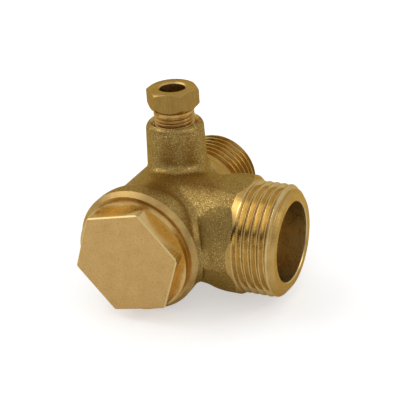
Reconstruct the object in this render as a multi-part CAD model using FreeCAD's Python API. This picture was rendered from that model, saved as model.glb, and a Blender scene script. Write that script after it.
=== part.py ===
import FreeCAD, Part
import math
import os

# Brass check valve for a small air compressor.
# One forged tee body carries three machined ends: the hex service cap at -Y, the inlet thread
# at +Y and the larger outlet thread at +X. A boss on top takes the relief tube, which is held
# by a compression nut and its olive. Inside, a sprung piston with a rubber disc shuts on a
# raised seat, so air passes only from the inlet to the outlet.
# Millimetres. The origin is where the outlet axis crosses the main axis. +Z is up.
# Threads are drawn as plain cylinders at their major diameter, one running fit apart.

# Standard threads: major diameters, pitches, and the depth of a thread as a share of its pitch
OUTLET_THREAD_D = 26.441
INLET_THREAD_D = 20.955
PORT_PITCH = 1.814
RELIEF_THREAD_D = 9.728
RELIEF_PITCH = 0.907
CAP_THREAD_D = 24.0
THREAD_DEPTH_SHARE = 0.6403

# Fits between pieces
SCREW_CLEARANCE = 0.05
STEM_CLEARANCE = 0.06
SEAL_CLEARANCE = 0.08
RING_CLEARANCE = 0.1
TUBE_CLEARANCE = 0.1
OLIVE_GAP = 0.2
STEM_SPARE = 0.5

# Main axis, along Y: forged head, barrel and inlet end
RIM_FACE = 16.35
HEAD_STEP = 1.625
HEAD_LENGTH = 3.0
HEAD_TAPER = 7.6
RIM_BEVEL_LENGTH = 1.25
RIM_BEVEL_DEPTH = 0.95
BARREL_D = 27.0
SHOULDER_UNDER_NECK = 0.9
SHOULDER_LENGTH = 4.2
COLLAR_D = 22.4
COLLAR_LENGTH = 1.6
INLET_RELIEF = 2.5
INLET_REACH = 31.1
INLET_END_BEVEL = 1.2
INLET_END_D = 19.1
INLET_BORE_D = 12.0
INLET_BORE_BEVEL = 0.6

# Chamber and valve seat
MOUTH_D = 26.0
MOUTH_DEPTH = 2.2
THREAD_RUNOUT = 1.2
CHAMBER_D = 23.0
CHAMBER_FLOOR = 5.0
SEAT_HEIGHT = 2.5
SEAT_LAND = 0.8
SEAT_BEVEL = 0.5

# Outlet branch, along X
BRANCH_NECK_INSET = 0.6
BRANCH_NECK_END = 11.0
BRANCH_COLLAR_D = 28.1
BRANCH_COLLAR_START = 19.0
BRANCH_RISE = 0.25
BRANCH_FLATS_AF = 26.55
BRANCH_FLATS_OFF_HEAD = 0.75
CONE_START = 21.15
OUTLET_REACH = 32.1
OUTLET_END_BEVEL = 1.5
OUTLET_END_D = 22.6
OUTLET_BORE_D = 19.0
OUTLET_BORE_BEVEL = 0.2
OUTLET_BORE_DEPTH = 17.5
OUTLET_DRILL_CONE = 2.6
OUTLET_PASSAGE_D = 9.6

# Relief boss, along Z
BOSS_Y = 7.4
BOSS_TOP = 23.9
BOSS_TOP_D = 13.75
BOSS_DRAFT = 2.0
BOSS_EDGE_R = 1.9
BOSS_SINK_D = 12.1
SOCKET_DEPTH = 7.3
OLIVE_SEAT_D = 9.1
OLIVE_SEAT_LENGTH = 2.2
TUBE_STOP_DEPTH = 1.6
RELIEF_PASSAGE_D = 2.5

# Cast blends where the ends meet
BRANCH_BLEND_R = 2.4
BOSS_BLEND_R = 2.0

# Hex service cap
CAP_FRONT = 21.85
CAP_HEX_AF = 23.5
CAP_HEX_LENGTH = 3.45
CAP_HEX_TURN = 12.5
CAP_BAR_D = 26.6
CAP_FACE_BEVEL = 0.3
CAP_FLANGE_D = 27.3
CAP_FLANGE_UNDERCUT = 0.25
CAP_END_BEVEL = 0.8
CAP_POCKET_D = 17.0
CAP_POCKET_FLOOR = 15.0
GUIDE_D = 10.0
GUIDE_LENGTH = 6.5

# Rubber ring between the cap and the body
RING_CORD_D = 1.5
RING_SIDES = 16

# Sprung piston and its seal
LIFT = 4.5
SEAL_D = 16.6
SEAL_THICKNESS = 2.4
SEAL_STANDS_OUT = 0.8
PISTON_D = 20.4
PISTON_LENGTH = 3.4
PISTON_EDGE = 0.5
STEM_D = 6.0
STEM_ENGAGED = 5.5

# Return spring
WIRE_D = 0.8
WIRE_SIDES = 8
SPRING_D = 13.6
SPRING_HALF_TURNS = 10
SPRING_END_GAP = 0.05

# Compression nut and olive
TUBE_D = 6.0
NUT_TOP = 32.0
NUT_HEX_AF = 11.05
NUT_HEX_LENGTH = 5.25
NUT_HEX_TURN = 13.6
NUT_TOP_ANGLE = 30.0
NUT_TOP_FACE_D = 10.8
NUT_FOOT_ANGLE = 45.0
NUT_FOOT_FACE_D = 9.9
NUT_SHANK_LENGTH = 8.35
NUT_BORE_BEVEL = 0.35
NUT_CONE_D = 8.3
OLIVE_BAND_D = 8.4
OLIVE_END_D = 6.9

# Places worked out from the sizes
NECK_R = BARREL_D / 2 - BRANCH_NECK_INSET
BARREL_BACK = NECK_R - SHOULDER_UNDER_NECK
COLLAR_REACH = BRANCH_COLLAR_D / 2 + BRANCH_RISE
CONE_END = CONE_START + COLLAR_REACH - OUTLET_THREAD_D / 2
CAP_NECK_R = MOUTH_D / 2 - RING_CORD_D - 2 * RING_CLEARANCE
PORT_THREAD_DEPTH = PORT_PITCH * THREAD_DEPTH_SHARE
RELIEF_THREAD_DEPTH = RELIEF_PITCH * THREAD_DEPTH_SHARE
SEAT_PLANE = CHAMBER_FLOOR - SEAT_HEIGHT
SEAT_R = INLET_BORE_D / 2 + SEAT_LAND + SEAT_BEVEL
PISTON_FRONT = SEAT_PLANE - SEAL_STANDS_OUT
PISTON_BACK = PISTON_FRONT - PISTON_LENGTH
PLUG_END = PISTON_BACK - LIFT
THREAD_START = -RIM_FACE + MOUTH_DEPTH
GUIDE_END = -CAP_POCKET_FLOOR + GUIDE_LENGTH
STEM_END = GUIDE_END - STEM_ENGAGED
GUIDE_FLOOR = STEM_END - LIFT - STEM_SPARE
TUBE_BORE_R = TUBE_D / 2 + TUBE_CLEARANCE
SOCKET_R = RELIEF_THREAD_D / 2 + SCREW_CLEARANCE
SOCKET_FLOOR = BOSS_TOP - SOCKET_DEPTH
SEAT_CONE_END = SOCKET_FLOOR - OLIVE_SEAT_LENGTH
TUBE_STOP = SEAT_CONE_END - TUBE_STOP_DEPTH
NUT_HEX_FOOT = NUT_TOP - NUT_HEX_LENGTH
NUT_SHANK_END = NUT_HEX_FOOT - NUT_SHANK_LENGTH

X_AXIS = FreeCAD.Vector(1, 0, 0)
Y_AXIS = FreeCAD.Vector(0, 1, 0)
Z_AXIS = FreeCAD.Vector(0, 0, 1)
CENTRE = FreeCAD.Vector(0, 0, 0)
BOSS_CENTRE = FreeCAD.Vector(0, BOSS_Y, 0)
FULL_TURN = 360.0
NEAR = 0.01


def turned(outline, axis, start=CENTRE):
    """Turn a closed outline of (along, radius) points about an axis.

    A step of the outline that is a pair of points is an arc: its middle and its end.
    """
    side = -X_AXIS if abs(axis.z) > 0.5 else -Z_AXIS

    def place(point):
        return start + axis * point[0] + side * point[1]

    edges = []
    here = outline[0]
    for step in list(outline[1:]) + [outline[0]]:
        if isinstance(step[0], tuple):
            middle, end = step
            edges.append(Part.Arc(place(here), place(middle), place(end)).toShape())
        else:
            end = step
            edges.append(Part.LineSegment(place(here), place(end)).toShape())
        here = end
    return Part.Face(Part.Wire(edges)).revolve(start, axis, FULL_TURN)


def s_curve(start, end):
    """Two equal arcs from one radius to another, both ends running along the axis."""
    length = end[0] - start[0]
    rise = end[1] - start[1]
    radius = (length ** 2 + rise ** 2) / (4 * abs(rise))
    quarter = math.asin(abs(length) / 2 / radius) / 2
    along = math.copysign(radius * math.sin(quarter), length)
    across = math.copysign(radius * (1 - math.cos(quarter)), rise)
    halfway = ((start[0] + end[0]) / 2, (start[1] + end[1]) / 2)
    first = (start[0] + along, start[1] + across)
    second = (end[0] - along, end[1] - across)
    return [(first, halfway), (second, end)]


def hex_prism(across_flats, low, high, axis, turn, start=CENTRE):
    """Six-sided prism along an axis, its first corner turned from +X, or from +Y when it lies along X."""
    corner_r = across_flats / math.sqrt(3)
    first = Y_AXIS if abs(axis.x) > 0.5 else X_AXIS
    other = Y_AXIS if abs(axis.z) > 0.5 else Z_AXIS
    corners = []
    for index in range(6):
        angle = math.radians(turn + 60 * index)
        outward = first * math.cos(angle) + other * math.sin(angle)
        corners.append(start + axis * low + outward * corner_r)
    return Part.Face(Part.makePolygon(corners + [corners[0]])).extrude(axis * (high - low))


def flat_sided(middle, radius, facing, sides):
    """Many-sided section inside a circle, which keeps a thin round piece to few facets."""
    first = Y_AXIS * radius
    corners = []
    for index in range(sides):
        turn = FreeCAD.Rotation(facing, FULL_TURN * (index + 0.5) / sides)
        corners.append(middle + turn.multVec(first))
    return Part.Face(Part.makePolygon(corners + [corners[0]]))


def edges_where(shape, test):
    """Edges of a shape that pass a test."""
    found = []
    for edge in shape.Edges:
        if test(edge):
            found.append(edge)
    return found


def meeting_edges(joined, first, second):
    """Edges of a joined shape that lie on the skins of both shapes it was joined from."""
    skins = [Part.Compound(first.Faces), Part.Compound(second.Faces)]

    def on_both(edge):
        span = edge.LastParameter - edge.FirstParameter
        for share in (0.2, 0.5, 0.8):
            point = Part.Vertex(edge.valueAt(edge.FirstParameter + share * span))
            for skin in skins:
                if point.distToShape(skin)[0] > NEAR:
                    return False
        return edge.Length > NEAR

    return edges_where(joined, on_both)


def blended(first, second, radius):
    """Join two shapes and round the inner corner where they meet."""
    joined = first.fuse(second).removeSplitter()
    return joined.makeFillet(radius, meeting_edges(joined, first, second))


def barrel_forging():
    """Outside along the main axis: bevelled cap rim, head, barrel, shoulder and inlet thread."""
    barrel_r = BARREL_D / 2
    head_r = barrel_r + HEAD_STEP
    thread_r = INLET_THREAD_D / 2
    root_r = thread_r - PORT_THREAD_DEPTH
    head_end = HEAD_LENGTH - RIM_FACE
    collar_r = COLLAR_D / 2
    collar = BARREL_BACK + SHOULDER_LENGTH
    relief = collar + COLLAR_LENGTH
    thread = relief + INLET_RELIEF
    outline = [(-RIM_FACE, 0), (-RIM_FACE, head_r - RIM_BEVEL_DEPTH)]
    outline += [(RIM_BEVEL_LENGTH - RIM_FACE, head_r), (head_end, head_r)]
    outline += s_curve((head_end, head_r), (head_end + HEAD_TAPER, barrel_r))
    outline += [(BARREL_BACK, barrel_r)]
    outline += s_curve((BARREL_BACK, barrel_r), (collar, collar_r))
    outline += [(relief, collar_r), (relief + PORT_THREAD_DEPTH / 2, root_r)]
    outline += [(thread - PORT_THREAD_DEPTH / 2, root_r), (thread, thread_r)]
    outline += [(INLET_REACH - INLET_END_BEVEL, thread_r)]
    outline += [(INLET_REACH, INLET_END_D / 2), (INLET_REACH, 0)]
    return turned(outline, Y_AXIS)


def branch_forging():
    """Forged neck and collar of the outlet; the forging sits a little high of the machined axis."""
    collar_r = BRANCH_COLLAR_D / 2
    end = OUTLET_REACH - OUTLET_END_BEVEL
    outline = [(0, 0), (0, NECK_R), (BRANCH_NECK_END, NECK_R)]
    outline += s_curve((BRANCH_NECK_END, NECK_R), (BRANCH_COLLAR_START, collar_r))
    outline += [(end, collar_r), (end, 0)]
    return turned(outline, X_AXIS, Z_AXIS * BRANCH_RISE)


def outlet_turning():
    """What the lathe leaves at the outlet: a 45 degree cone off the collar, the thread, its bevel."""
    thread_r = OUTLET_THREAD_D / 2
    outline = [(0, 0), (0, thread_r + CONE_END), (CONE_END, thread_r)]
    outline += [(OUTLET_REACH - OUTLET_END_BEVEL, thread_r)]
    outline += [(OUTLET_REACH, OUTLET_END_D / 2), (OUTLET_REACH, 0)]
    return turned(outline, X_AXIS)


def outlet_branch():
    """Forged branch cut to its turned end."""
    turning = outlet_turning()
    end_stock = Part.makeCylinder(OUTLET_THREAD_D / 2, OUTLET_REACH - CONE_END, X_AXIS * CONE_END, X_AXIS)
    branch = branch_forging().fuse(end_stock)
    return branch.common(turning).removeSplitter()


def collar_flats():
    """What the six flats take off the outlet collar. The neck, barrel, head and boss stay whole."""
    length = OUTLET_REACH - BRANCH_NECK_END
    around = Part.makeCylinder(COLLAR_REACH + 1, length, X_AXIS * BRANCH_NECK_END, X_AXIS)
    hexagon = hex_prism(BRANCH_FLATS_AF, BRANCH_NECK_END, OUTLET_REACH, X_AXIS, 0)
    kept_r = BARREL_D / 2 + HEAD_STEP + BRANCH_FLATS_OFF_HEAD
    kept = Part.makeCylinder(kept_r, 2 * RIM_FACE, Y_AXIS * -RIM_FACE, Y_AXIS)
    return around.cut(hexagon).cut(kept)


def boss_forging():
    """Relief boss with its draft, from inside the barrel to its rounded top."""
    draft = math.tan(math.radians(BOSS_DRAFT))
    top_r = BOSS_TOP_D / 2
    outline = [(0, 0), (0, top_r + BOSS_TOP * draft), (BOSS_TOP, top_r), (BOSS_TOP, 0)]
    boss = turned(outline, Z_AXIS, BOSS_CENTRE)
    rim = edges_where(boss, lambda edge: edge.BoundBox.ZMin > BOSS_TOP - NEAR and edge.Length > top_r * 2)
    return boss.makeFillet(BOSS_EDGE_R, rim)


def chamber_cut():
    """Hollow along the main axis: ring mouth, cap thread, chamber, raised seat and inlet bore."""
    thread_r = CAP_THREAD_D / 2 + SCREW_CLEARANCE
    chamber_r = CHAMBER_D / 2
    bore_r = INLET_BORE_D / 2
    thread_end = PLUG_END + THREAD_RUNOUT
    outline = [(-RIM_FACE - 1, 0), (-RIM_FACE - 1, MOUTH_D / 2), (THREAD_START, MOUTH_D / 2)]
    outline += [(THREAD_START, thread_r), (thread_end, thread_r)]
    outline += [(thread_end + thread_r - chamber_r, chamber_r), (CHAMBER_FLOOR, chamber_r)]
    outline += [(CHAMBER_FLOOR, SEAT_R), (SEAT_PLANE + SEAT_BEVEL, SEAT_R)]
    outline += [(SEAT_PLANE, SEAT_R - SEAT_BEVEL), (SEAT_PLANE, bore_r)]
    outline += [(INLET_REACH - INLET_BORE_BEVEL, bore_r)]
    outline += [(INLET_REACH, bore_r + INLET_BORE_BEVEL), (INLET_REACH + 1, bore_r + INLET_BORE_BEVEL)]
    outline += [(INLET_REACH + 1, 0)]
    return turned(outline, Y_AXIS)


def outlet_cut():
    """Hollow of the outlet: wide bore, drill cone and the passage into the chamber."""
    bore_r = OUTLET_BORE_D / 2
    passage_r = OUTLET_PASSAGE_D / 2
    bore_end = OUTLET_REACH - OUTLET_BORE_DEPTH
    wall_x = math.sqrt((CHAMBER_D / 2) ** 2 - passage_r ** 2)
    inner = (wall_x + SEAT_R) / 2
    outline = [(inner, 0), (inner, passage_r)]
    outline += [(bore_end - OUTLET_DRILL_CONE, passage_r), (bore_end, bore_r)]
    outline += [(OUTLET_REACH - OUTLET_BORE_BEVEL, bore_r), (OUTLET_REACH, bore_r + OUTLET_BORE_BEVEL)]
    outline += [(OUTLET_REACH + 1, bore_r + OUTLET_BORE_BEVEL), (OUTLET_REACH + 1, 0)]
    return turned(outline, X_AXIS)


def relief_cut():
    """Hollow of the boss: sink, threaded socket, olive seat, tube stop and the fine passage."""
    sink_r = BOSS_SINK_D / 2
    seat_r = OLIVE_SEAT_D / 2
    passage_r = RELIEF_PASSAGE_D / 2
    sink_end = BOSS_TOP - (sink_r - SOCKET_R)
    outline = [(0, 0), (0, passage_r), (TUBE_STOP, passage_r), (TUBE_STOP, TUBE_BORE_R)]
    outline += [(SEAT_CONE_END, TUBE_BORE_R), (SOCKET_FLOOR, seat_r), (SOCKET_FLOOR, SOCKET_R)]
    outline += [(sink_end, SOCKET_R), (BOSS_TOP, sink_r), (BOSS_TOP + 1, sink_r), (BOSS_TOP + 1, 0)]
    return turned(outline, Z_AXIS, BOSS_CENTRE)


def make_body():
    """Forged and machined body."""
    tee = blended(barrel_forging(), outlet_branch(), BRANCH_BLEND_R)
    tee = blended(tee, boss_forging(), BOSS_BLEND_R)
    tee = tee.cut(collar_flats())
    return tee.cut(chamber_cut()).cut(outlet_cut()).cut(relief_cut())


def make_hex_cap():
    """Service cap: short hex, round flange, ring neck, thread and the guide for the piston stem."""
    flange_r = CAP_FLANGE_D / 2
    thread_r = CAP_THREAD_D / 2
    flange_front = CAP_HEX_LENGTH - CAP_FRONT
    head = hex_prism(CAP_HEX_AF, -CAP_FRONT, flange_front, Y_AXIS, CAP_HEX_TURN)
    face_edges = edges_where(head, lambda edge: edge.BoundBox.YMax < NEAR - CAP_FRONT)
    head = head.makeChamfer(CAP_FACE_BEVEL, face_edges)
    bar = Part.makeCylinder(CAP_BAR_D / 2, CAP_HEX_LENGTH, Y_AXIS * -CAP_FRONT, Y_AXIS)
    head = head.common(bar)
    outline = [(flange_front, 0), (flange_front, flange_r), (-RIM_FACE - CAP_FLANGE_UNDERCUT, flange_r)]
    outline += [(-RIM_FACE, flange_r - CAP_FLANGE_UNDERCUT), (-RIM_FACE, CAP_NECK_R)]
    outline += [(THREAD_START, CAP_NECK_R), (THREAD_START, thread_r)]
    outline += [(PLUG_END - CAP_END_BEVEL, thread_r)]
    outline += [(PLUG_END, thread_r - CAP_END_BEVEL), (PLUG_END, CAP_POCKET_D / 2)]
    outline += [(-CAP_POCKET_FLOOR, CAP_POCKET_D / 2), (-CAP_POCKET_FLOOR, GUIDE_D / 2)]
    outline += [(GUIDE_END, GUIDE_D / 2), (GUIDE_END, 0)]
    guide_r = STEM_D / 2 + STEM_CLEARANCE
    guide_bore = Part.makeCylinder(guide_r, GUIDE_END - GUIDE_FLOOR, Y_AXIS * GUIDE_FLOOR, Y_AXIS)
    return head.fuse(turned(outline, Y_AXIS)).removeSplitter().cut(guide_bore)


def make_cap_o_ring():
    """Rubber ring round the cap neck, just behind the flange."""
    cord_r = RING_CORD_D / 2
    ring_r = CAP_NECK_R + RING_CLEARANCE + cord_r
    middle = -RIM_FACE + RING_CLEARANCE + cord_r
    section = flat_sided(FreeCAD.Vector(0, middle, -ring_r), cord_r, X_AXIS, RING_SIDES)
    return section.revolve(CENTRE, Y_AXIS, FULL_TURN)


def make_check_piston():
    """Piston with a recess for the seal in its face and a guide stem on its back."""
    piston_r = PISTON_D / 2
    recess_r = SEAL_D / 2 + SEAL_CLEARANCE
    recess_floor = SEAT_PLANE - SEAL_THICKNESS
    stem_r = STEM_D / 2
    outline = [(recess_floor, 0), (recess_floor, recess_r), (PISTON_FRONT, recess_r)]
    outline += [(PISTON_FRONT, piston_r - PISTON_EDGE), (PISTON_FRONT - PISTON_EDGE, piston_r)]
    outline += [(PISTON_BACK + PISTON_EDGE, piston_r), (PISTON_BACK, piston_r - PISTON_EDGE)]
    outline += [(PISTON_BACK, stem_r), (STEM_END + PISTON_EDGE, stem_r)]
    outline += [(STEM_END, stem_r - PISTON_EDGE), (STEM_END, 0)]
    return turned(outline, Y_AXIS)


def make_seal_disc():
    """Rubber disc in the piston face, standing out of it to meet the seat."""
    return Part.makeCylinder(SEAL_D / 2, SEAL_THICKNESS, Y_AXIS * (SEAT_PLANE - SEAL_THICKNESS), Y_AXIS)


def make_return_spring():
    """Open coil from the pocket floor of the cap to the piston, made of tilted half rings."""
    wire_r = WIRE_D / 2
    coil_r = SPRING_D / 2
    low = -CAP_POCKET_FLOOR + wire_r + SPRING_END_GAP
    high = PISTON_BACK - wire_r - SPRING_END_GAP
    step = (high - low) / SPRING_HALF_TURNS
    rings = []
    for index in range(SPRING_HALF_TURNS):
        side = 1 if index % 2 == 0 else -1
        start = FreeCAD.Vector(side * coil_r, low + index * step, 0)
        end = FreeCAD.Vector(-side * coil_r, low + (index + 1) * step, 0)
        section = flat_sided(start, wire_r, Z_AXIS, WIRE_SIDES)
        axis = (end - start).cross(Z_AXIS) * side
        rings.append(section.revolve((start + end) / 2, axis, FULL_TURN / 2))
    return rings[0].fuse(rings[1:]).removeSplitter()


def make_compression_nut():
    """Hex nut with bevelled corners, a threaded shank, the tube bore and its inner cone."""
    shank_r = RELIEF_THREAD_D / 2
    corner_r = NUT_HEX_AF / math.sqrt(3)
    top_face_r = NUT_TOP_FACE_D / 2
    foot_face_r = NUT_FOOT_FACE_D / 2
    top_drop = (corner_r - top_face_r) * math.tan(math.radians(NUT_TOP_ANGLE))
    foot_rise = (corner_r - foot_face_r) * math.tan(math.radians(NUT_FOOT_ANGLE))
    head = hex_prism(NUT_HEX_AF, NUT_HEX_FOOT, NUT_TOP, Z_AXIS, NUT_HEX_TURN, BOSS_CENTRE)
    outline = [(NUT_HEX_FOOT, 0), (NUT_HEX_FOOT, foot_face_r), (NUT_HEX_FOOT + foot_rise, corner_r)]
    outline += [(NUT_TOP - top_drop, corner_r), (NUT_TOP, top_face_r), (NUT_TOP, 0)]
    head = head.common(turned(outline, Z_AXIS, BOSS_CENTRE))
    shank = [(NUT_SHANK_END, 0), (NUT_SHANK_END, shank_r - RELIEF_THREAD_DEPTH)]
    shank += [(NUT_SHANK_END + RELIEF_THREAD_DEPTH, shank_r), (NUT_HEX_FOOT, shank_r), (NUT_HEX_FOOT, 0)]
    nut = head.fuse(turned(shank, Z_AXIS, BOSS_CENTRE)).removeSplitter()
    cone_r = NUT_CONE_D / 2
    top_bore_r = TUBE_BORE_R + NUT_BORE_BEVEL
    bore = [(NUT_SHANK_END - 1, 0), (NUT_SHANK_END - 1, cone_r), (NUT_SHANK_END, cone_r)]
    bore += [(NUT_SHANK_END + cone_r - TUBE_BORE_R, TUBE_BORE_R), (NUT_TOP - NUT_BORE_BEVEL, TUBE_BORE_R)]
    bore += [(NUT_TOP, top_bore_r), (NUT_TOP + 1, top_bore_r), (NUT_TOP + 1, 0)]
    return nut.cut(turned(bore, Z_AXIS, BOSS_CENTRE))


def make_olive():
    """Compression ring between the cone in the boss and the cone in the nut."""
    band_r = OLIVE_BAND_D / 2
    end_r = OLIVE_END_D / 2
    seat_slope = OLIVE_SEAT_LENGTH / (OLIVE_SEAT_D / 2 - TUBE_BORE_R)
    foot = SEAT_CONE_END + OLIVE_GAP + (end_r - TUBE_BORE_R) * seat_slope
    band_low = foot + (band_r - end_r) * seat_slope
    top = NUT_SHANK_END + NUT_CONE_D / 2 - end_r - OLIVE_GAP
    band_high = top - (band_r - end_r)
    outline = [(foot, TUBE_BORE_R), (foot, end_r), (band_low, band_r), (band_high, band_r)]
    outline += [(top, end_r), (top, TUBE_BORE_R)]
    return turned(outline, Z_AXIS, BOSS_CENTRE)


PIECES = {
    "body": make_body,
    "hex_cap": make_hex_cap,
    "cap_o_ring": make_cap_o_ring,
    "check_piston": make_check_piston,
    "seal_disc": make_seal_disc,
    "return_spring": make_return_spring,
    "compression_nut": make_compression_nut,
    "olive": make_olive,
}

os.makedirs("parts", exist_ok=True)
for name, make in PIECES.items():
    shape = make()
    shape.exportStep("parts/" + name + ".step")
    print(name, "solids", len(shape.Solids), "valid", shape.isValid(), "mm3", round(shape.Volume, 1))
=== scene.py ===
import logging
import math
from contextlib import contextmanager
from dataclasses import dataclass, field
from enum import Enum
from typing import Callable, Iterator

import bpy
from mathutils import Matrix, Vector


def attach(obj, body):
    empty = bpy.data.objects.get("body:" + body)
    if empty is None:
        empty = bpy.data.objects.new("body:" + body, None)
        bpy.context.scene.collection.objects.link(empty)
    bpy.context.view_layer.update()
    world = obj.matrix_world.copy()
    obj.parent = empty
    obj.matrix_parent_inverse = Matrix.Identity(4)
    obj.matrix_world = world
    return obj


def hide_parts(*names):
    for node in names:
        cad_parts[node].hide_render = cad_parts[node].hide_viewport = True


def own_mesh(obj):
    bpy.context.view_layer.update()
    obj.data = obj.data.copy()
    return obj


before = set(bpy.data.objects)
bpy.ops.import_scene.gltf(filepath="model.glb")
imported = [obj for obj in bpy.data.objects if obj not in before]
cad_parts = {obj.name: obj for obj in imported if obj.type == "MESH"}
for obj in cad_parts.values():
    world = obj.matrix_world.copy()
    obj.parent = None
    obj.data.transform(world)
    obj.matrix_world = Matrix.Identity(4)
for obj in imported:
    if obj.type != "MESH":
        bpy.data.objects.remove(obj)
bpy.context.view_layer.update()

MM = 0.001
RING_STEPS = 240
JOIN_WITHIN = 0.001 * MM
CAD_JOIN_WITHIN = 0.002 * MM
PORT_PITCH = 1.814
RELIEF_PITCH = 0.907
CAP_PITCH = 1.5
CAP_FLANK_DEG = 30.0
BOSS_Y = 7.4
BOSS_CENTRE = (0.0, BOSS_Y * MM, 0.0)
LOG = logging.getLogger("check_valve")


class Axis(Enum):
    """Direction in which a turned feature was held in the lathe."""

    X = "X"
    Y = "Y"
    Z = "Z"

    @property
    def direction(self) -> Vector:
        """Unit vector of the axis."""
        return Vector([1.0 if self.value == name else 0.0 for name in "XYZ"])

    @property
    def turn(self) -> Matrix:
        """Rotation that brings +Z onto the axis."""
        return Vector((0, 0, 1)).rotation_difference(self.direction).to_matrix().to_4x4()


class BodyZone(Enum):
    """Finishes of the body, numbered in the order of its materials."""

    FORGED = 0
    OUTLET = 1
    MAIN = 2
    BOSS = 3
    THREAD = 4
    # the drilled bore, coloured paler as painted light in its shade
    BORE = 5
    CREST = 6
    INLET = 7
    RIM = 8


class CapZone(Enum):
    """Finishes of the cap, numbered in the order of its materials."""

    FACE = 0
    FLATS = 1
    TURNED = 2
    # front bevels, whose paler colour is a painted highlight
    EDGE = 3


class NutZone(Enum):
    """Finishes of the nut, numbered in the order of its materials."""

    FLATS = 0
    TOP = 1
    SCREW = 2


def linear(red: float, green: float, blue: float) -> tuple[float, float, float, float]:
    """Colour as a picture shows it, 0 to 255, in the units that shaders use.

    Args:
        red: Red share.
        green: Green share.
        blue: Blue share.

    Returns:
        The colour with full alpha.
    """
    shares = [value / 255 for value in (red, green, blue)]
    bent = [s / 12.92 if s <= 0.04045 else ((s + 0.055) / 1.055) ** 2.4 for s in shares]
    return (bent[0], bent[1], bent[2], 1.0)


BRASS_EDGE = linear(238, 214, 168)
DULLING = 0.14


def pick_only(piece: bpy.types.Object) -> None:
    """Makes one object the active and only selected one.

    Args:
        piece: The object.
    """
    bpy.ops.object.select_all(action="DESELECT")
    piece.select_set(True)
    bpy.context.view_layer.objects.active = piece


@contextmanager
def editing(piece: bpy.types.Object) -> Iterator[None]:
    """Edit mode on one object, for the length of a with block.

    Args:
        piece: The mesh object.
    """
    pick_only(piece)
    bpy.ops.object.mode_set(mode="EDIT")
    try:
        yield
    finally:
        bpy.ops.object.mode_set(mode="OBJECT")


def finish_modifier(piece: bpy.types.Object, kind: str, **settings: object) -> None:
    """Adds a modifier to a piece and applies it.

    Args:
        piece: The object.
        kind: Blender's name of the modifier.
        settings: Properties of the modifier.
    """
    pick_only(piece)
    modifier = piece.modifiers.new(kind.title(), kind)
    for name, value in settings.items():
        setattr(modifier, name, value)
    bpy.ops.object.modifier_apply(modifier=modifier.name)


def machine(piece: bpy.types.Object, tool: bpy.types.Object) -> None:
    """Cuts a tool's shape out of a piece and uses the tool up.

    Args:
        piece: The object that is cut.
        tool: The closed mesh that is taken away from it.
    """
    finish_modifier(piece, "BOOLEAN", object=tool, operation="DIFFERENCE", solver="EXACT")
    bpy.data.objects.remove(tool, do_unlink=True)


def settle(piece: bpy.types.Object, matrix: Matrix) -> None:
    """Moves a piece and puts the move into its mesh, so that its object is at the origin.

    Args:
        piece: The object.
        matrix: Where it goes.
    """
    piece.matrix_world = matrix @ piece.matrix_world
    pick_only(piece)
    bpy.ops.object.transform_apply(location=True, rotation=True, scale=True)


def copy_of_node(node: str, name: str) -> bpy.types.Object:
    """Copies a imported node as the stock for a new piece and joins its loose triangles.

    Args:
        node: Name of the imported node.
        name: Name of the new piece.

    Returns:
        The new piece, with one closed skin.
    """
    piece = bpy.data.objects.new(name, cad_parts[node].data.copy())
    bpy.context.scene.collection.objects.link(piece)
    piece.data.materials.clear()
    pick_only(piece)
    bpy.ops.mesh.customdata_custom_splitnormals_clear()
    with editing(piece):
        bpy.ops.mesh.select_all(action="SELECT")
        bpy.ops.mesh.remove_doubles(threshold=CAD_JOIN_WITHIN)
        bpy.ops.mesh.dissolve_degenerate(threshold=JOIN_WITHIN)
    return piece


def close_ends(piece: bpy.types.Object) -> None:
    """Puts a face on each open end of a wound piece and turns its skin outward.

    Args:
        piece: The object.
    """
    with editing(piece):
        bpy.ops.mesh.select_all(action="DESELECT")
        bpy.ops.mesh.select_non_manifold()
        bpy.ops.mesh.edge_face_add()
        bpy.ops.mesh.select_all(action="SELECT")
        bpy.ops.mesh.normals_make_consistent(inside=False)


def smooth(piece: bpy.types.Object, angle: float = 32.0) -> None:
    """Smooth shading, broken at edges sharper than an angle.

    Args:
        piece: The object.
        angle: The angle in degrees.
    """
    pick_only(piece)
    bpy.ops.object.shade_smooth_by_angle(angle=math.radians(angle))


def dress(piece: bpy.types.Object, finishes: dict,
          zone_of: Callable[[Vector, Vector], Enum]) -> None:
    """Gives each face of a piece the finish of its zone, and smooth shading.

    Args:
        piece: The object.
        finishes: The finish of each zone.
        zone_of: Gives the zone of a face from its centre and normal.
    """
    for zone in sorted(finishes, key=lambda zone: zone.value):
        piece.data.materials.append(finishes[zone].material())
    for face in piece.data.polygons:
        face.material_index = zone_of(face.center, face.normal).value
    smooth(piece)


def turned_ring(outline: tuple, axis: Axis) -> bpy.types.Object:
    """Turns a closed three-sided outline into a ring.

    Args:
        outline: Three points, each its place along the axis and its radius, in millimetres.
        axis: The axis that it is turned round.

    Returns:
        The closed ring.
    """
    bpy.ops.object.select_all(action="DESELECT")
    bpy.ops.mesh.primitive_circle_add(vertices=3, fill_type="NOTHING")
    ring = bpy.context.object
    for vertex, (along, radius) in zip(ring.data.vertices, outline):
        vertex.co = (radius * MM, 0, along * MM)
    finish_modifier(ring, "SCREW", axis="Z", angle=math.tau,
                    steps=RING_STEPS, render_steps=RING_STEPS,
                    use_merge_vertices=True, merge_threshold=JOIN_WITHIN)
    with editing(ring):
        bpy.ops.mesh.select_all(action="SELECT")
        bpy.ops.mesh.remove_doubles(threshold=JOIN_WITHIN)
        bpy.ops.mesh.normals_make_consistent(inside=False)
    settle(ring, axis.turn)
    return ring


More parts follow.
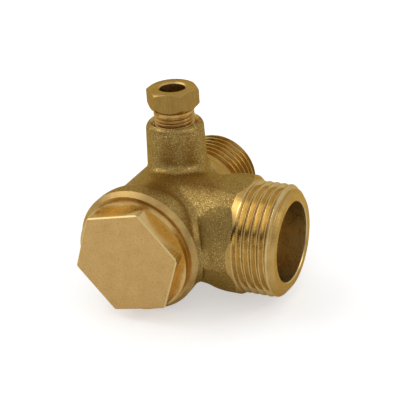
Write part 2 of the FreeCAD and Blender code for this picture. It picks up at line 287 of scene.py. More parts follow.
class NodeSheet:
    """One material's node tree, with short calls for the nodes that the finishes share."""

    def __init__(self, name: str) -> None:
        """Starts an empty principled material.

        Args:
            name: Name of the material.
        """
        self.material = bpy.data.materials.new(name)
        self.material.use_nodes = True
        self.tree = self.material.node_tree
        self.shader = self.tree.nodes["Principled BSDF"]
        self.place = self.add("ShaderNodeTexCoord").outputs["Object"]

    def add(self, kind: str, **settings: object) -> bpy.types.Node:
        """Adds a node.

        Args:
            kind: Blender's name of the node type.
            settings: Properties of the node, or values of the sockets that have these names.

        Returns:
            The node.
        """
        node = self.tree.nodes.new(kind)
        for name, value in settings.items():
            if hasattr(node, name):
                setattr(node, name, value)
            else:
                node.inputs[name.replace("_", " ")].default_value = value
        return node

    def wire(self, source: bpy.types.NodeSocket, target: bpy.types.NodeSocket) -> None:
        """Links two sockets."""
        self.tree.links.new(source, target)

    def metal(self, edge: tuple = (1.0, 1.0, 1.0, 1.0)) -> None:
        """Makes the shader a bare metal.

        Args:
            edge: Tint of the surface where it is seen almost edge on.
        """
        self.shader.inputs["Metallic"].default_value = 1.0
        self.shader.inputs["Specular Tint"].default_value = edge

    def finish(self, colour: bpy.types.NodeSocket, rough: bpy.types.NodeSocket,
               normal: bpy.types.NodeSocket) -> bpy.types.Material:
        """Wires a finish to the shader.

        Args:
            colour: Its colour.
            rough: Its roughness.
            normal: Its normal.

        Returns:
            The finished material.
        """
        for name, source in (("Base Color", colour), ("Roughness", rough), ("Normal", normal)):
            self.wire(source, self.shader.inputs[name])
        return self.material

    def noise(self, size_mm: float, detail: float = 2.0,
              rough: float = 0.5) -> bpy.types.NodeSocket:
        """Cloudy noise whose lumps have a given size.

        Args:
            size_mm: Size of a lump in millimetres.
            detail: How many finer layers it has.
            rough: Strength of the finer layers.

        Returns:
            The value, about 0.5 in the middle.
        """
        node = self.add("ShaderNodeTexNoise", Scale=1 / (size_mm * MM),
                        Detail=detail, Roughness=rough)
        self.wire(self.place, node.inputs["Vector"])
        return node.outputs["Fac"]

    def grains(self, size_mm: float) -> bpy.types.NodeSocket:
        """A random value for each small cell of the surface.

        Args:
            size_mm: Size of a cell in millimetres.

        Returns:
            The value of the cell, 0 to 1.
        """
        node = self.add("ShaderNodeTexVoronoi", Scale=1 / (size_mm * MM))
        self.wire(self.place, node.inputs["Vector"])
        split = self.add("ShaderNodeSeparateColor")
        self.wire(node.outputs["Color"], split.inputs["Color"])
        return split.outputs["Red"]

    def level(self, source: bpy.types.NodeSocket, low: float, high: float,
              to_low: float = 0.0, to_high: float = 1.0) -> bpy.types.NodeSocket:
        """Stretches a value from one range to another, held at the ends.

        Args:
            source: The value.
            low: Value that becomes to_low.
            high: Value that becomes to_high.
            to_low: Result at low.
            to_high: Result at high.

        Returns:
            The new value.
        """
        node = self.add("ShaderNodeMapRange", From_Min=low, From_Max=high,
                        To_Min=to_low, To_Max=to_high)
        self.wire(source, node.inputs["Value"])
        return node.outputs["Result"]

    def sum(self, first: bpy.types.NodeSocket, second: bpy.types.NodeSocket,
            operation: str = "ADD") -> bpy.types.NodeSocket:
        """Joins two values by a sum, or by another operation.

        Args:
            first: One value.
            second: The other.
            operation: Blender's name of the operation.

        Returns:
            The result.
        """
        node = self.add("ShaderNodeMath", operation=operation)
        self.wire(first, node.inputs[0])
        self.wire(second, node.inputs[1])
        return node.outputs["Value"]

    def blend(self, share: bpy.types.NodeSocket, first: object,
              second: object) -> bpy.types.NodeSocket:
        """Mixes two colours by a share.

        Args:
            share: 0 gives the first colour and 1 the second.
            first: A colour or a socket that carries one.
            second: A colour or a socket that carries one.

        Returns:
            The mixed colour.
        """
        node = self.add("ShaderNodeMix", data_type="RGBA")
        self.wire(share, node.inputs["Factor"])
        for colour, socket in ((first, node.inputs[6]), (second, node.inputs[7])):
            if isinstance(colour, bpy.types.NodeSocket):
                self.wire(colour, socket)
            else:
                socket.default_value = colour
        return node.outputs[2]

    def bump(self, height: bpy.types.NodeSocket, depth_mm: float,
             below: bpy.types.NodeSocket | None = None) -> bpy.types.NodeSocket:
        """Turns a height into relief.

        Args:
            height: The height, 0 to 1.
            depth_mm: How deep the relief is in millimetres.
            below: Normal of a relief that this one lies on.

        Returns:
            The normal.
        """
        node = self.add("ShaderNodeBump", Strength=1.0, Distance=depth_mm * MM)
        self.wire(height, node.inputs["Height"])
        if below is not None:
            self.wire(below, node.inputs["Normal"])
        return node.outputs["Normal"]

    def turning_marks(self, axis: Axis, feed_mm: float, centre: Vector) -> bpy.types.NodeSocket:
        """Fine rings round an axis, as a lathe leaves on faces, cones and cylinders alike.

        Args:
            axis: The lathe axis.
            feed_mm: Distance between rings in millimetres.
            centre: A point on the axis, in metres.

        Returns:
            The height of the rings, 0 to 1.
        """
        shift = self.add("ShaderNodeMapping")
        shift.inputs["Location"].default_value = -centre
        self.wire(self.place, shift.inputs["Vector"])
        split = self.add("ShaderNodeSeparateXYZ")
        self.wire(shift.outputs["Vector"], split.inputs["Vector"])
        across = [split.outputs[name] for name in "XYZ" if name != axis.value]
        square = self.sum(self.sum(across[0], across[0], "MULTIPLY"),
                          self.sum(across[1], across[1], "MULTIPLY"))
        root = self.add("ShaderNodeMath", operation="SQRT")
        self.wire(square, root.inputs[0])
        path = self.sum(root.outputs["Value"], split.outputs[axis.value])
        rings = self.add("ShaderNodeTexNoise", noise_dimensions="1D",
                         Scale=1 / (feed_mm * MM), Detail=3.0, Roughness=0.6)
        self.wire(path, rings.inputs["W"])
        return rings.outputs["Fac"]


@dataclass(frozen=True)
class ForgedBrass:
    """Blasted skin of the hot forging: olive brown, gritty, with small cells painted bright as
    glints.
    """

    shadow: tuple = linear(114, 90, 42)
    tone: tuple = linear(198, 162, 90)
    # painted glint: the pale colour that the small cells take
    light: tuple = linear(248, 216, 140)
    stain_dark: tuple = linear(152, 124, 68)
    stain_light: tuple = linear(186, 156, 96)
    grain_mm: float = 0.16
    relief_mm: float = 0.026
    patch_mm: float = 4.5
    facet_share: float = 0.8
    wave_mm: float = 1.6
    wave_relief_mm: float = 0.06
    dull: float = 0.45
    glint: float = 0.3

    def material(self) -> bpy.types.Material:
        """Builds the material."""
        sheet = NodeSheet("forged_brass")
        patches = sheet.level(sheet.noise(self.patch_mm, 3.0), 0.35, 0.65)
        grit = sheet.level(sheet.noise(self.grain_mm, 2.0, 0.6), 0.36, 0.66)
        glint_paint_cells = sheet.level(sheet.grains(self.grain_mm * self.facet_share), 0.8, 1.0)
        body = sheet.blend(grit, self.shadow, self.tone)
        warm = sheet.blend(patches, self.stain_dark, self.stain_light)
        colour = sheet.blend(sheet.level(grit, 0, 1, 0.1, 0.4), body, warm)
        # painted glint: the small cells are coloured pale as sparkle, while their lower roughness
        # is real
        colour = sheet.blend(glint_paint_cells, colour, self.light)
        rough = sheet.level(glint_paint_cells, 0, 1, self.dull, self.glint)
        coarse = sheet.bump(sheet.noise(self.wave_mm, 2.0), self.wave_relief_mm)
        fine = sheet.bump(sheet.noise(self.grain_mm, 3.0, 0.65), self.relief_mm, coarse)
        sheet.metal(BRASS_EDGE)
        return sheet.finish(colour, rough, fine)


@dataclass(frozen=True)
class TurnedBrass:
    """Bright machined brass with the marks that the lathe leaves round one axis."""

    name: str
    axis: Axis
    centre: tuple = (0.0, 0.0, 0.0)
    deep: tuple = linear(196, 162, 100)
    bright: tuple = linear(226, 195, 132)
    feed_mm: float = 0.22
    relief_mm: float = 0.006
    polish: float = 0.17
    pits_mm: float = 0.004
    tarnish: tuple = linear(132, 104, 54)
    tarnished: float = 0.35
    spots_mm: float = 0.9
    speck_mm: float = 0.25
    speck_share: float = 0.25
    ring_share: float = 0.45
    cloud_mm: float = 3.0
    cloud: float = 1.0

    def material(self) -> bpy.types.Material:
        """Builds the material."""
        sheet = NodeSheet(self.name)
        rings = sheet.turning_marks(self.axis, self.feed_mm, Vector(self.centre))
        stain = sheet.level(sheet.noise(self.cloud_mm, 4.0, 0.6), 0.35, 0.68)
        speck = sheet.level(sheet.noise(self.speck_mm, 2.0), 0.4, 0.66)
        clouds = sheet.level(stain, 0, 1, 0.5 - self.cloud / 2, 0.5 + self.cloud / 2)
        colour = sheet.blend(clouds, self.deep, self.bright)
        ridges = sheet.level(rings, 0.35, 0.65, 0.0, self.ring_share)
        colour = sheet.blend(ridges, colour, self.bright)
        colour = sheet.blend(sheet.level(speck, 0, 1, 0.0, self.speck_share), colour, self.deep)
        spots = sheet.level(sheet.noise(self.spots_mm, 5.0, 0.72), 0.56, 0.72,
                            0.0, self.tarnished)
        colour = sheet.blend(spots, colour, self.tarnish)
        rough = sheet.level(sheet.sum(stain, speck), 0.2, 1.6, self.polish, self.polish + DULLING)
        marks = sheet.bump(rings, self.relief_mm)
        sheet.metal(BRASS_EDGE)
        return sheet.finish(colour, rough, sheet.bump(speck, self.pits_mm, marks))


@dataclass(frozen=True)
class DrawnBrass:
    """Flats of the hex bar as it was drawn: satin, with fine lines along the bar."""

    name: str
    axis: Axis
    deep: tuple = linear(196, 162, 102)
    bright: tuple = linear(232, 200, 136)
    line_mm: float = 0.22
    stretch: float = 0.03
    line_share: float = 0.6
    stain_mm: float = 1.6
    relief_mm: float = 0.012
    polish: float = 0.24

    def material(self) -> bpy.types.Material:
        """Builds the material."""
        sheet = NodeSheet(self.name)
        along = sheet.add("ShaderNodeMapping")
        along.inputs["Scale"].default_value = [self.stretch if letter == self.axis.value else 1.0
                                               for letter in "XYZ"]
        sheet.wire(sheet.place, along.inputs["Vector"])
        lines = sheet.add("ShaderNodeTexNoise", Scale=1 / (self.line_mm * MM),
                          Detail=3.0, Roughness=0.6)
        sheet.wire(along.outputs["Vector"], lines.inputs["Vector"])
        drawn = sheet.level(lines.outputs["Fac"], 0.35, 0.66)
        stain = sheet.level(sheet.noise(self.stain_mm, 4.0, 0.6), 0.35, 0.68)
        colour = sheet.blend(sheet.level(stain, 0, 1, 0.35, 0.75), self.deep, self.bright)
        colour = sheet.blend(sheet.level(drawn, 0, 1, 0.0, self.line_share), colour, self.deep)
        rough = sheet.level(drawn, 0, 1, self.polish, self.polish + DULLING)
        sheet.metal(BRASS_EDGE)
        return sheet.finish(colour, rough, sheet.bump(drawn, self.relief_mm))


@dataclass(frozen=True)
class SealRubber:
    """Matt black sealing rubber with a faint bloom."""

    black: tuple = linear(26, 26, 27)
    bloomed: tuple = linear(48, 47, 45)
    bloom_mm: float = 1.2
    grain_mm: float = 0.15
    relief_mm: float = 0.01

    def material(self) -> bpy.types.Material:
        """Builds the material."""
        sheet = NodeSheet("seal_rubber")
        bloom = sheet.level(sheet.noise(self.bloom_mm, 4.0, 0.6), 0.4, 0.7)
        colour = sheet.blend(bloom, self.black, self.bloomed)
        rough = sheet.level(bloom, 0, 1, 0.5, 0.68)
        grain = sheet.bump(sheet.noise(self.grain_mm, 2.0), self.relief_mm)
        return sheet.finish(colour, rough, grain)


@dataclass(frozen=True)
class SpringSteel:
    """Drawn stainless wire with fine scratches."""

    dull: tuple = linear(176, 176, 178)
    bright: tuple = linear(214, 214, 212)
    scuff_mm: float = 0.4
    grain_mm: float = 0.12
    relief_mm: float = 0.004

    def material(self) -> bpy.types.Material:
        """Builds the material."""
        sheet = NodeSheet("spring_steel")
        scuffs = sheet.level(sheet.noise(self.scuff_mm, 4.0, 0.6), 0.35, 0.7)
        colour = sheet.blend(scuffs, self.dull, self.bright)
        rough = sheet.level(scuffs, 0, 1, 0.36, 0.24)
        grain = sheet.bump(sheet.noise(self.grain_mm, 2.0), self.relief_mm)
        sheet.metal()
        return sheet.finish(colour, rough, grain)


@dataclass
class Thread:
    """Screw thread cut into a cylinder, all sizes in millimetres along its own axis.

    The root and the crest are round, each with a radius of round_share pitches. The tool
    stands out past the crest by over.
    """

    major_r: float
    pitch: float
    start: float
    end: float
    axis: Axis
    centre: tuple = (0.0, 0.0, 0.0)
    flank_deg: float = 27.5
    inside: bool = False
    steps: int = 72
    round_share: float = 0.137
    crest_flat: float = 0.03
    over: float = 0.35
    round_shares: tuple = (0.18, 0.45, 0.72, 1.0)
    flank_shares: tuple = (0.06, 0.94)

    def section(self) -> list[tuple[float, float]]:
        """Half widths of the groove and the radii where it has them, root first.

        Returns:
            Pairs of radius and half width: round root, straight flank, half of each crest.
        """
        sign = 1 if self.inside else -1
        round_r = self.round_share * self.pitch
        swing = 90 - self.flank_deg
        steps = [math.radians(swing * share) for share in self.round_shares]
        half_pitch = self.pitch / 2
        straight = half_pitch - 2 * round_r * math.sin(steps[-1])
        drop = [round_r * (1 - math.cos(step)) for step in steps]
        width = [round_r * math.sin(step) for step in steps]
        depth = 2 * drop[-1] + straight / math.tan(math.radians(self.flank_deg))
        root = [(depth - low, half) for low, half in zip(drop, width)]
        crest = [(low, half_pitch - half) for low, half in zip(drop, width)]
        (low, low_half), (high, high_half) = root[-1], crest[-1]
        flank = [(low + (high - low) * share, low_half + (high_half - low_half) * share)
                 for share in self.flank_shares]
        edge = half_pitch - self.crest_flat / 2
        points = root + flank + crest[::-1] + [(0.0, edge), (-self.over, edge)]
        return [(self.major_r + sign * below, half) for below, half in points]

    def groove(self) -> bpy.types.Object:
        """Draws the groove's section as one flat face.

        Returns:
            The face, in the plane of the axis, before it is wound.
        """
        section = self.section()
        radius, half = section[0]
        bpy.ops.object.select_all(action="DESELECT")
        bpy.ops.mesh.primitive_plane_add(size=2 * half * MM, location=(radius * MM, 0, 0),
                                         rotation=(math.radians(90), 0, 0))
        tool = bpy.context.object
        pick_only(tool)
        bpy.ops.object.transform_apply(location=True, rotation=True, scale=True)
        with editing(tool):
            bpy.ops.mesh.select_all(action="SELECT")
            bpy.ops.mesh.delete(type="ONLY_FACE")
            bpy.ops.mesh.select_all(action="DESELECT")
        for vertex in tool.data.vertices:
            vertex.select = vertex.co.x > radius * MM
        with editing(tool):
            bpy.ops.mesh.delete(type="VERT")
            bpy.ops.mesh.select_all(action="SELECT")
            bpy.ops.transform.translate(value=(half * MM, 0, 0))
            for (low_r, low_w), (high_r, high_w) in zip(section, section[1:]):
                bpy.ops.mesh.extrude_region_move(
                    TRANSFORM_OT_translate={"value": ((high_r - low_r) * MM, 0, 0)})
                bpy.ops.transform.resize(value=(1, 1, high_w / low_w), center_override=(0, 0, 0))
            bpy.ops.mesh.select_all(action="SELECT")
            bpy.ops.mesh.dissolve_faces()
        return tool

    def cutter(self) -> bpy.types.Object:
        """Builds the closed helical tool that cuts the groove.

        Returns:
            The tool, in place.
        """
        tool = self.groove()
        turns = (self.end - self.start) / self.pitch
        finish_modifier(tool, "SCREW", axis="Z", angle=math.tau * turns,
                        screw_offset=(self.end - self.start) * MM,
                        steps=int(self.steps * turns), render_steps=int(self.steps * turns),
                        use_merge_vertices=False)
        close_ends(tool)
        rise = Matrix.Translation((0, 0, self.start * MM))
        settle(tool, Matrix.Translation(Vector(self.centre) * MM) @ self.axis.turn @ rise)
        return tool


@dataclass
class ValveBody:
    """The tee: forged outside, with turned ends, threads and bores. Millimetres.

    Attributes:
        outlet, inlet, mouth, socket: Its four threads.
        runout: Section of the groove between the outlet's cone and its first crest.
        cone_start, cone_end, cone_lean: Reach of the cone, and how far its normals lean to +X.
        thread_start, thread_end, root_r, crest_depth: Reach and depth of the outlet's thread.
        outlet_bore: Where the bore starts and the radius that holds it.
        outlet_way: Start and radius of the way from the chamber, and its distance from Y.
        facing_start, collar_r: The inlet's turned end, and its radii from bore to collar.
        rim_start, rim_r: The front face of the mouth.
        chamber, chamber_r: Reach and radius of the chamber.
        inlet_bore: Where the inlet's bore starts and its radius.
        socket_floor, socket_r: The boss's socket, from its floor up, and its radius.
    """

    outlet: Thread = field(default_factory=lambda: Thread(
        major_r=13.2205, pitch=PORT_PITCH, start=23.0, end=34.0, axis=Axis.X))
    inlet: Thread = field(default_factory=lambda: Thread(
        major_r=10.4775, pitch=PORT_PITCH, start=18.6, end=33.0, axis=Axis.Y))
    mouth: Thread = field(default_factory=lambda: Thread(
        major_r=12.05, pitch=CAP_PITCH, start=-15.0, end=-5.4, axis=Axis.Y,
        flank_deg=CAP_FLANK_DEG, inside=True, steps=48))
    socket: Thread = field(default_factory=lambda: Thread(
        major_r=4.914, pitch=RELIEF_PITCH, start=17.0, end=25.0, axis=Axis.Z,
        centre=(0.0, BOSS_Y, 0.0), inside=True, steps=40))
    runout: tuple = ((21.81, 13.62), (22.78, 12.65), (23.12, 13.62))
    cone_start: float = 21.15
    cone_end: float = 22.25
    cone_lean: float = 0.3
    thread_start: float = 22.26
    thread_end: float = 30.9
    root_r: float = 11.9
    crest_depth: float = 0.03
    outlet_bore: tuple = (8.0, 9.75)
    outlet_way: tuple = (9.0, 9.6, 11.6)
    facing_start: float = 10.2
    collar_r: tuple = (8.6, 13.55)
    rim_start: float = -15.1
    rim_r: float = 12.2
    chamber: tuple = (-16.4, 5.05)
    chamber_r: float = 12.9
    inlet_bore: tuple = (2.0, 6.1)
    socket_floor: float = 11.0
    socket_r: float = 5.86

    def zone(self, centre: Vector, normal: Vector) -> BodyZone:
        """Says which machining a face belongs to.

        Args:
            centre: Centre of the face in metres.
            normal: Its normal.

        Returns:
            The zone.
        """
        x, y, z = (value / MM for value in centre)
        from_x = math.hypot(y, z)
        from_y = math.hypot(x, z)
        from_z = math.hypot(x, y - BOSS_Y)
        if self.thread_start < x < self.thread_end and from_x > self.root_r:
            cut = from_x < self.outlet.major_r - self.crest_depth
            return BodyZone.THREAD if cut else BodyZone.CREST
        if x > self.outlet_bore[0] and from_x < self.outlet_bore[1]:
            return BodyZone.BORE
        if x > self.cone_start and (normal.x > self.cone_lean or x > self.cone_end):
            return BodyZone.OUTLET
        if y > self.facing_start and from_y < self.collar_r[1]:
            return BodyZone.INLET if from_y > self.collar_r[0] else BodyZone.MAIN
        if y < self.rim_start:
            return BodyZone.RIM if from_y > self.rim_r else BodyZone.MAIN
        way_start, way_r, beyond = self.outlet_way
        in_way = x > way_start and from_x < way_r and from_y > beyond
        if from_y < self.chamber_r and self.chamber[0] < y < self.chamber[1] and not in_way:
            return BodyZone.MAIN
        if y > self.inlet_bore[0] and from_y < self.inlet_bore[1]:
            return BodyZone.MAIN
        if from_z < self.socket_r and z > self.socket_floor:
            return BodyZone.BOSS
        return BodyZone.FORGED

    def finishes(self) -> dict:
        """Lists the finish of each zone.

        Returns:
            The finishes by their zones.
        """
        return {
            BodyZone.FORGED: ForgedBrass(),
            BodyZone.OUTLET: TurnedBrass(
                "turned_outlet", Axis.X, deep=linear(192, 153, 84), bright=linear(220, 182, 110),
                polish=0.2),
            BodyZone.MAIN: TurnedBrass("turned_main", Axis.Y),
            BodyZone.BOSS: TurnedBrass("turned_boss", Axis.Z, BOSS_CENTRE),
            BodyZone.THREAD: TurnedBrass(
                "cut_thread", Axis.X, deep=linear(208, 180, 120), bright=linear(234, 208, 150),
                relief_mm=0.003, polish=0.08, tarnished=0.15),
            # painted light: the drilled bore takes paler, untarnished brass so that it shows
            # lighter in its shade; its drilled rings are real
            BodyZone.BORE: TurnedBrass(
                "drilled_bore_painted_light", Axis.X, deep=linear(196, 168, 110), bright=linear(248, 226, 168),
                feed_mm=0.6, relief_mm=0.04, polish=0.24, pits_mm=0.001, tarnished=0.0, cloud=0.0),
            BodyZone.CREST: TurnedBrass(
                "worn_crest", Axis.X, deep=linear(174, 134, 66), bright=linear(212, 170, 94),
                polish=0.2, pits_mm=0.1),
            BodyZone.INLET: TurnedBrass(
                "turned_inlet", Axis.Y, deep=linear(176, 138, 70), bright=linear(210, 172, 100),
                polish=0.16, relief_mm=0.012),
            BodyZone.RIM: TurnedBrass(
                "turned_rim", Axis.Y, deep=linear(188, 152, 90), bright=linear(220, 186, 120),
                polish=0.32, relief_mm=0.002),
        }

    def build(self) -> bpy.types.Object:
        """Builds and dresses the body.

        Returns:
            The finished piece.
        """
        piece = copy_of_node("body", "valve_body")
        for thread in (self.outlet, self.inlet, self.mouth, self.socket):
            machine(piece, thread.cutter())
        machine(piece, turned_ring(self.runout, Axis.X))
        for axis, place in ((Axis.Y, self.facing_start), (Axis.X, self.thread_start),
                            (Axis.X, self.thread_end)):
            with editing(piece):
                bpy.ops.mesh.select_all(action="SELECT")
                bpy.ops.mesh.bisect(plane_co=axis.direction * place * MM,
                                    plane_no=axis.direction)
        dress(piece, self.finishes(), self.zone)
        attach(piece, "root")
        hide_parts("body")
        return piece


@dataclass
class HexCap:
    """Service cap with its hex, flange and screw. Millimetres."""

    screw: Thread = field(default_factory=lambda: Thread(
        major_r=12.0, pitch=CAP_PITCH, start=-15.6, end=-5.0, axis=Axis.Y,
        flank_deg=CAP_FLANK_DEG))
    face: float = -21.4
    flange: float = -18.42
    level: float = 0.98

    def zone(self, centre: Vector, normal: Vector) -> CapZone:
        """Says which machining a face belongs to.

        Args:
            centre: Centre of the face in metres.
            normal: Its normal.

        Returns:
            The zone.
        """
        along = centre.y / MM
        if along < self.face:
            # faces on the front bevels take the painted highlight
            return CapZone.FACE if abs(normal.y) > self.level else CapZone.EDGE
        return CapZone.FLATS if along < self.flange else CapZone.TURNED

    def finishes(self) -> dict:
        """Lists the finish of each zone.

        Returns:
            The finishes by their zones.
        """
        return {
            CapZone.FACE: TurnedBrass(
                "cap_face", Axis.Y, deep=linear(204, 163, 100), bright=linear(230, 191, 124),
                polish=0.2, tarnished=0.55, spots_mm=0.45, cloud=0.5),
            CapZone.FLATS: DrawnBrass(
                "cap_flats", Axis.Y, linear(228, 194, 128), linear(248, 218, 154),
                relief_mm=0.004),
            CapZone.TURNED: TurnedBrass(
                "cap_turned", Axis.Y, deep=linear(212, 178, 112), bright=linear(238, 206, 142)),
            # painted highlight: the bevels take a paler, untarnished copy of the turned brass
            CapZone.EDGE: TurnedBrass(
                "cap_bevel_painted_highlight", Axis.Y, deep=linear(240, 206, 136), bright=linear(252, 224, 158),
                polish=0.24, tarnished=0.0),
        }

    def build(self) -> bpy.types.Object:
        """Builds and dresses the cap.

        Returns:
            The finished piece.
        """
        piece = copy_of_node("hex_cap", "service_cap")
        machine(piece, self.screw.cutter())
        dress(piece, self.finishes(), self.zone)
        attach(piece, "cap")
        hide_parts("hex_cap")
        return piece


@dataclass
class CompressionNut:
    """Hex nut with its threaded shank. Millimetres."""

    screw: Thread = field(default_factory=lambda: Thread(
        major_r=4.864, pitch=RELIEF_PITCH, start=16.6, end=26.3, axis=Axis.Z,
        centre=(0.0, BOSS_Y, 0.0)))
    shank_top: float = 26.76
    bore_r: float = 3.5
    upright: float = 0.1

    def zone(self, centre: Vector, normal: Vector) -> NutZone:
        """Says which machining a face belongs to.

        Args:
            centre: Centre of the face in metres.
            normal: Its normal.

        Returns:
            The zone.
        """
        spot = centre / MM
        if math.hypot(spot.x, spot.y - BOSS_Y) < self.bore_r or spot.z < self.shank_top:
            return NutZone.SCREW
        return NutZone.FLATS if abs(normal.z) < self.upright else NutZone.TOP

    def finishes(self) -> dict:
        """Lists the finish of each zone.

        Returns:
            The finishes by their zones.
        """
        return {
            NutZone.FLATS: DrawnBrass(
                "nut_flats", Axis.Z, linear(160, 126, 64), linear(190, 154, 86)),
            NutZone.TOP: TurnedBrass(
                "nut_top", Axis.Z, BOSS_CENTRE, linear(178, 142, 78), linear(206, 169, 100)),
            NutZone.SCREW: TurnedBrass(
                "nut_screw", Axis.Z, BOSS_CENTRE, linear(196, 162, 98), linear(222, 188, 122),
                relief_mm=0.003, polish=0.24),
        }

    def build(self) -> bpy.types.Object:
        """Builds and dresses the nut.

        Returns:
            The finished piece.
        """
        piece = copy_of_node("compression_nut", "relief_nut")
        machine(piece, self.screw.cutter())
        dress(piece, self.finishes(), self.zone)
        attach(piece, "nut")
        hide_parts("compression_nut")
        return piece


@dataclass
class ReturnSpring:
    """Wound wire of the return spring, between the cap and the piston. Millimetres."""

    wire_r: float = 0.4
    coil_r: float = 6.8
    low: float = -14.6
    high: float = -2.1
    turns: float = 6.5
    squeezed: float = 0.66
    foot: float = -15.0
    wire_sides: int = 14
    steps_per_turn: int = 44
    smooth_deg: float = 50.0

    def build(self) -> bpy.types.Object:
        """Winds the wire and gives it its finish.

        Returns:
            The finished piece.
        """
        bpy.ops.object.select_all(action="DESELECT")
        bpy.ops.mesh.primitive_circle_add(vertices=self.wire_sides, radius=self.wire_r * MM,
                                          rotation=(math.pi / 2, 0, 0),
                                          location=(self.coil_r * MM, 0, 0))
        piece = bpy.context.object
        piece.name = "wound_spring"
        pick_only(piece)
        bpy.ops.object.transform_apply(location=True, rotation=True, scale=True)
        steps = int(self.steps_per_turn * self.turns)
        finish_modifier(piece, "SCREW", axis="Z", angle=math.tau * self.turns,
                        screw_offset=(self.high - self.low) * MM, steps=steps, render_steps=steps,
                        use_merge_vertices=False)
        close_ends(piece)
        settle(piece, Axis.Y.turn @ Matrix.Translation((0, 0, self.low * MM)))
        piece.data.materials.append(SpringSteel().material())
        smooth(piece, self.smooth_deg)
        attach(piece, "root")
        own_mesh(piece)
        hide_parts("return_spring")
        return piece


@dataclass
class InnerParts:
    """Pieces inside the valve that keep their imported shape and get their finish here."""

    def dress(self) -> list[str]:
        """Gives each inner piece its material.

        Returns:
            The names of the pieces.
        """
        rubber = SealRubber().material()
        brass = TurnedBrass("piston_brass", Axis.Y).material()
        ring_brass = TurnedBrass("olive_brass", Axis.Z, BOSS_CENTRE).material()
        finishes = {"cap_o_ring": rubber, "seal_disc": rubber, "check_piston": brass,
                    "olive": ring_brass}
        for name, material in finishes.items():
            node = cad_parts[name]
            node.data.materials.clear()
            node.data.materials.append(material)
        return sorted(finishes)


@dataclass(frozen=True)
class Lamp:
    """A square soft light. Metres; a glow of 1 is a face as bright as white paper."""

    name: str
    toward: tuple
    distance: float
    size: float
    glow: float


@dataclass(frozen=True)
class SkyPatch:
    """A round patch of the sky: the cosines from its middle where its soft edge lies."""

    middle: tuple
    outer: float
    inner: float


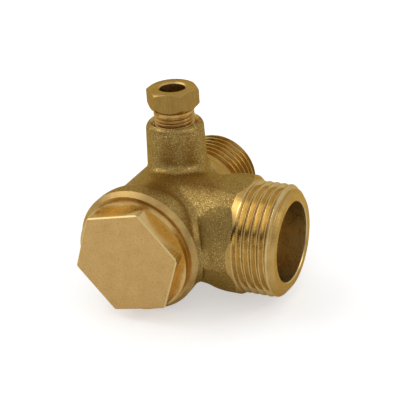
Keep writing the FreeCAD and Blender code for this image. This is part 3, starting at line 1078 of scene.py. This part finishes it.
@dataclass
class Studio:
    """Camera, floor, sky and lamps. Metres; the camera's turn is a vector in radians."""

    place: tuple = (0.12657, -0.23379, 0.13474)
    turn: tuple = (2.000, 0.404, -0.336)
    focal_px: float = 1236.0
    image_px: float = 400.0
    sensor_mm: float = 36.0
    nearest: float = 0.01
    floor_z: float = -0.01513
    room_glow: float = 0.62
    dark_share: float = 0.04
    dark_patches: tuple = (
        SkyPatch((0.925, -0.365, 0.120), 0.955, 0.985),
        SkyPatch((-0.400, -0.760, 0.510), 0.945, 0.985),
        SkyPatch((-0.400, -0.880, 0.240), 0.960, 0.990),
        SkyPatch((-0.722, -0.668, 0.180), 0.940, 0.978),
    )
    light_patch: SkyPatch = SkyPatch((-0.56, -0.80, 0.20), 0.97, 0.995)
    light_glow: float = 1.5
    floor_side: float = 6.0
    floor_colours: tuple = ((0.80, 0.80, 0.80, 1.0), (0.84, 0.84, 0.84, 1.0))
    floor_seen: float = 0.5
    floor_mirrored: float = 0.1
    lamps: tuple = (
        Lamp("top_box", (-0.62, -0.10, 0.78), 0.5, 0.40, 0.85),
        Lamp("right_box", (0.82, 0.10, 0.56), 0.5, 0.16, 2.2),
    )

    def add_camera(self) -> None:
        """Puts the camera where the photograph was taken from."""
        spin = Vector(self.turn)
        seen = Matrix.Rotation(spin.length, 4, spin.normalized())
        flip = Matrix.Diagonal((1, -1, -1, 1))
        bpy.ops.object.camera_add()
        camera = bpy.context.object
        camera.name = "photo_camera"
        camera.matrix_world = Matrix.Translation(self.place) @ seen.inverted() @ flip
        camera.data.sensor_width = self.sensor_mm
        camera.data.lens = self.focal_px * camera.data.sensor_width / self.image_px
        camera.data.clip_start = self.nearest
        bpy.context.scene.camera = camera

    def add_lamp(self, lamp: Lamp) -> None:
        """Hangs a lamp so that it faces the valve.

        Args:
            lamp: The lamp.
        """
        bpy.ops.object.light_add(type="AREA")
        light = bpy.context.object
        light.name = lamp.name
        light.data.size = lamp.size
        light.data.energy = lamp.glow * math.pi * lamp.size ** 2
        direction = Vector(lamp.toward).normalized()
        light.location = direction * lamp.distance
        light.rotation_euler = direction.to_track_quat("Z", "Y").to_euler()

    def add_floor(self) -> None:
        """Adds a pale floor that keeps the object's shadow and shows white in the picture."""
        bpy.ops.object.select_all(action="DESELECT")
        bpy.ops.mesh.primitive_plane_add(size=self.floor_side, location=(0, 0, self.floor_z))
        floor = bpy.context.object
        floor.name = "studio_floor"
        sheet = NodeSheet("floor_paper")
        fibres = sheet.level(sheet.noise(2.0, 3.0), 0.3, 0.7)
        colour = sheet.blend(fibres, *self.floor_colours)
        sheet.wire(colour, sheet.shader.inputs["Base Color"])
        sheet.shader.inputs["Roughness"].default_value = 0.9
        rays = sheet.add("ShaderNodeLightPath")
        sheet.shader.inputs["Emission Color"].default_value = (1, 1, 1, 1)
        seen = sheet.level(rays.outputs["Is Camera Ray"], 0, 1, 0.0, self.floor_seen)
        mirrored = sheet.level(rays.outputs["Is Glossy Ray"], 0, 1, 0.0, self.floor_mirrored)
        sheet.wire(sheet.sum(seen, mirrored), sheet.shader.inputs["Emission Strength"])
        floor.data.materials.append(sheet.material)

    @staticmethod
    def sky_value(way: bpy.types.NodeSocket, patch: SkyPatch, outside: float,
                  inside: float) -> bpy.types.NodeSocket:
        """Gives a patch of the sky one value and all round it another.

        Args:
            way: The direction that is looked in.
            patch: The patch.
            outside: Value round it.
            inside: Value in it.

        Returns:
            The value.
        """
        tree = way.id_data
        nearness = tree.nodes.new("ShaderNodeVectorMath")
        nearness.operation = "DOT_PRODUCT"
        nearness.inputs[1].default_value = patch.middle
        tree.links.new(way, nearness.inputs[0])
        glow = tree.nodes.new("ShaderNodeMapRange")
        glow.interpolation_type = "SMOOTHSTEP"
        for name, value in (("From Min", patch.outer), ("From Max", patch.inner),
                            ("To Min", outside), ("To Max", inside)):
            glow.inputs[name].default_value = value
        tree.links.new(nearness.outputs["Value"], glow.inputs["Value"])
        return glow.outputs["Result"]

    def add_world(self) -> None:
        """Even light with a bright patch and dark ones, like cards; the camera sees white."""
        world = bpy.data.worlds.new("soft_room")
        bpy.context.scene.world = world
        world.use_nodes = True
        tree = world.node_tree
        background = tree.nodes["Background"]
        background.inputs["Color"].default_value = (1, 1, 1, 1)
        rays = tree.nodes.new("ShaderNodeLightPath")
        way = tree.nodes.new("ShaderNodeTexCoord").outputs["Generated"]
        first, *others = self.dark_patches
        room = self.sky_value(way, first, self.room_glow, self.room_glow * self.dark_share)
        layers = [("MULTIPLY", self.sky_value(way, dark, 1.0, self.dark_share))
                  for dark in others]
        layers.append(("ADD", self.sky_value(way, self.light_patch, 0.0, self.light_glow)))
        for operation, layer in layers:
            both = tree.nodes.new("ShaderNodeMath")
            both.operation = operation
            tree.links.new(room, both.inputs[0])
            tree.links.new(layer, both.inputs[1])
            room = both.outputs["Value"]
        strength = tree.nodes.new("ShaderNodeMapRange")
        strength.inputs["To Max"].default_value = 1.0
        tree.links.new(room, strength.inputs["To Min"])
        tree.links.new(rays.outputs["Is Camera Ray"], strength.inputs["Value"])
        tree.links.new(strength.outputs["Result"], background.inputs["Strength"])

    def build(self) -> None:
        """Builds the whole studio."""
        self.add_camera()
        self.add_floor()
        self.add_world()
        for lamp in self.lamps:
            self.add_lamp(lamp)
        bpy.context.scene.view_settings.view_transform = "Standard"


def main() -> None:
    """Builds every piece, then the studio."""
    logging.basicConfig(level=logging.INFO, format="%(name)s: %(message)s")
    for part in (ValveBody(), HexCap(), CompressionNut(), ReturnSpring()):
        piece = part.build()
        LOG.info("%s has %d faces", piece.name, len(piece.data.polygons))
    LOG.info("dressed %s", ", ".join(InnerParts().dress()))
    Studio().build()


if __name__ == "__main__":
    main()
